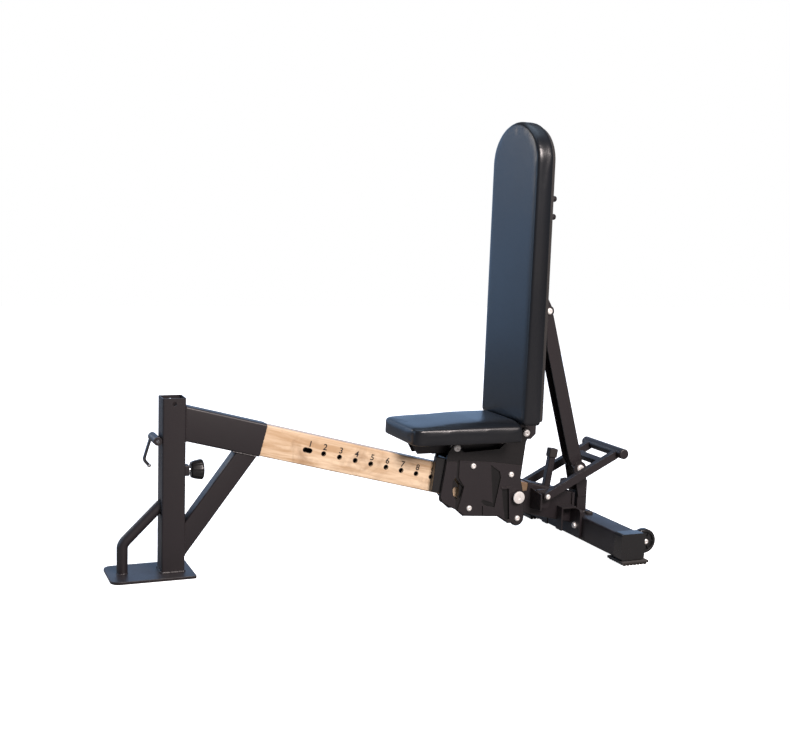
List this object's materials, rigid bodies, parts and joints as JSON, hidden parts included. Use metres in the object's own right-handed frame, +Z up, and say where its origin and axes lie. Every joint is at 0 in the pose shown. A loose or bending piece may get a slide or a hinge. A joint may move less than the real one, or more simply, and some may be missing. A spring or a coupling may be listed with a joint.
{
  "type": "adjustable weight bench",
  "caption": "Weight bench whose seat and backrest ride a roller carriage along a sloped numbered rail, with a prop strut that reclines the back.",
  "frame": {"origin": "centre of the bench's box, on the floor", "axes": "+X from the foot-end post to the wheel end, +Y to the sitter's right, +Z up"},
  "size_m": [1.591, 0.6396, 1.284],
  "materials": {
    "frame_black": "satin black powder coat",
    "rail_lacquer": "mottled tan lacquer over steel",
    "zinc": "bright zinc",
    "chrome": "polished chrome",
    "rubber": "matt black rubber",
    "black_plastic": "black moulded plastic",
    "vinyl": "black vinyl with a blue sheen",
    "board": "dark stained plywood"
  },
  "bodies": {
    "frame": {"base_plate": "frame_black", "front_post": "frame_black", "lift_bar": "frame_black", "rail_neck": "frame_black", "neck_brace": "frame_black", "slide_rail": "rail_lacquer", "latch_barrel": "frame_black", "knob_collar": "frame_black", "knob_spring": "zinc", "rear_hub": "frame_black", "rear_flange": "frame_black", "flange_bolt_left": "zinc", "flange_bolt_right": "zinc", "crossbeam": "frame_black", "end_plug_left": "black_plastic", "end_plug_right": "black_plastic", "foot_pad_left": "rubber", "foot_pad_right": "rubber", "wheel_axle_left": "zinc", "wheel_axle_right": "zinc", "upright": "frame_black", "strut_foot_bolt": "zinc", "stop_post": "frame_black", "stop_cap": "rubber", "handle_arm_left": "frame_black", "handle_arm_right": "frame_black", "handle_bolt_left": "zinc", "handle_bolt_right": "zinc", "handle_crossbar": "frame_black", "handle_bar": "frame_black"},
    "carriage": {"carriage_plate_left": "frame_black", "carriage_plate_right": "frame_black", "guide_saddle": "black_plastic", "roller_axle_top_front": "zinc", "roller_axle_top_rear": "zinc", "roller_axle_bottom_front": "zinc", "roller_axle_bottom_rear": "zinc", "seat_bolt": "zinc", "back_hinge_bolt": "zinc", "seat_channel": "frame_black", "seat_board": "board", "seat_pad": "vinyl"},
    "backrest": {"back_channel": "frame_black", "backrest_board": "board", "backrest_pad": "vinyl", "strut_top_bolt_left": "zinc", "strut_top_bolt_right": "zinc"},
    "strut": {"strut": "frame_black"},
    "lock_pin": {"lock_pin": "zinc"},
    "knob_pin": {"knob_pin": "chrome", "post_knob": "black_plastic"},
    "latch_lever": {"latch_lever": "chrome"},
    "wheel_left": {"wheel_left": "black_plastic"},
    "wheel_right": {"wheel_right": "black_plastic"},
    "roller_top_front": {"roller_top_front": "black_plastic"},
    "roller_top_rear": {"roller_top_rear": "black_plastic"},
    "roller_bottom_front": {"roller_bottom_front": "black_plastic"},
    "roller_bottom_rear": {"roller_bottom_rear": "black_plastic"}
  },
  "joints": [
    {"name": "carriage_slide", "type": "slide", "parent": "frame", "child": "carriage", "axis": [-0.9693, 0, 0.246], "range_m": [0, 0.586]},
    {"name": "back_hinge", "type": "hinge", "parent": "carriage", "child": "backrest", "pos_m": [0.448, 0, 0.3573], "axis": [0, 1, 0], "range_deg": [0, 72.08]},
    {"name": "strut_hinge", "type": "hinge", "parent": "frame", "child": "strut", "pos_m": [0.6615, 0, 0.231], "axis": [0, 1, 0], "range_deg": [-36.81, 0]},
    {"name": "lock_pin_push", "type": "slide", "parent": "carriage", "child": "lock_pin", "axis": [0, 1, 0], "range_m": [0, 0.005]},
    {"name": "knob_pull", "type": "slide", "parent": "frame", "child": "knob_pin", "axis": [1, 0, 0], "range_m": [0, 0.012], "stiffness_N_per_m": 600, "springref_m": -0.004},
    {"name": "latch_swing", "type": "hinge", "parent": "frame", "child": "latch_lever", "pos_m": [-0.6658, 0, 0.375], "axis": [0, 1, 0], "range_deg": [0, 100]},
    {"name": "wheel_left_spin", "type": "hinge", "parent": "frame", "child": "wheel_left", "pos_m": [0.7585, -0.247, 0.051], "axis": [0, 1, 0], "continuous": true},
    {"name": "wheel_right_spin", "type": "hinge", "parent": "frame", "child": "wheel_right", "pos_m": [0.7585, 0.247, 0.051], "axis": [0, 1, 0], "continuous": true},
    {"name": "roller_top_front_spin", "type": "hinge", "parent": "carriage", "child": "roller_top_front", "pos_m": [0.27123, 0, 0.26494], "axis": [0, 1, 0], "range_deg": [-1976, 0]},
    {"name": "roller_top_rear_spin", "type": "hinge", "parent": "carriage", "child": "roller_top_rear", "pos_m": [0.40053, 0, 0.23212], "axis": [0, 1, 0], "range_deg": [-1976, 0]},
    {"name": "roller_bottom_front_spin", "type": "hinge", "parent": "carriage", "child": "roller_bottom_front", "pos_m": [0.26233, 0, 0.13638], "axis": [0, 1, 0], "range_deg": [0, 1768.1]},
    {"name": "roller_bottom_rear_spin", "type": "hinge", "parent": "carriage", "child": "roller_bottom_rear", "pos_m": [0.42788, 0, 0.09436], "axis": [0, 1, 0], "range_deg": [0, 1768.1]}
  ],
  "couplings": [
    {"joint": "back_hinge", "follows": "carriage_slide", "rad_per_m": 2.1461},
    {"joint": "strut_hinge", "follows": "carriage_slide", "rad_per_m": -1.0958},
    {"joint": "roller_top_front_spin", "follows": "carriage_slide", "rad_per_m": -58.824},
    {"joint": "roller_top_rear_spin", "follows": "carriage_slide", "rad_per_m": -58.824},
    {"joint": "roller_bottom_front_spin", "follows": "carriage_slide", "rad_per_m": 52.632},
    {"joint": "roller_bottom_rear_spin", "follows": "carriage_slide", "rad_per_m": 52.632}
  ]
}
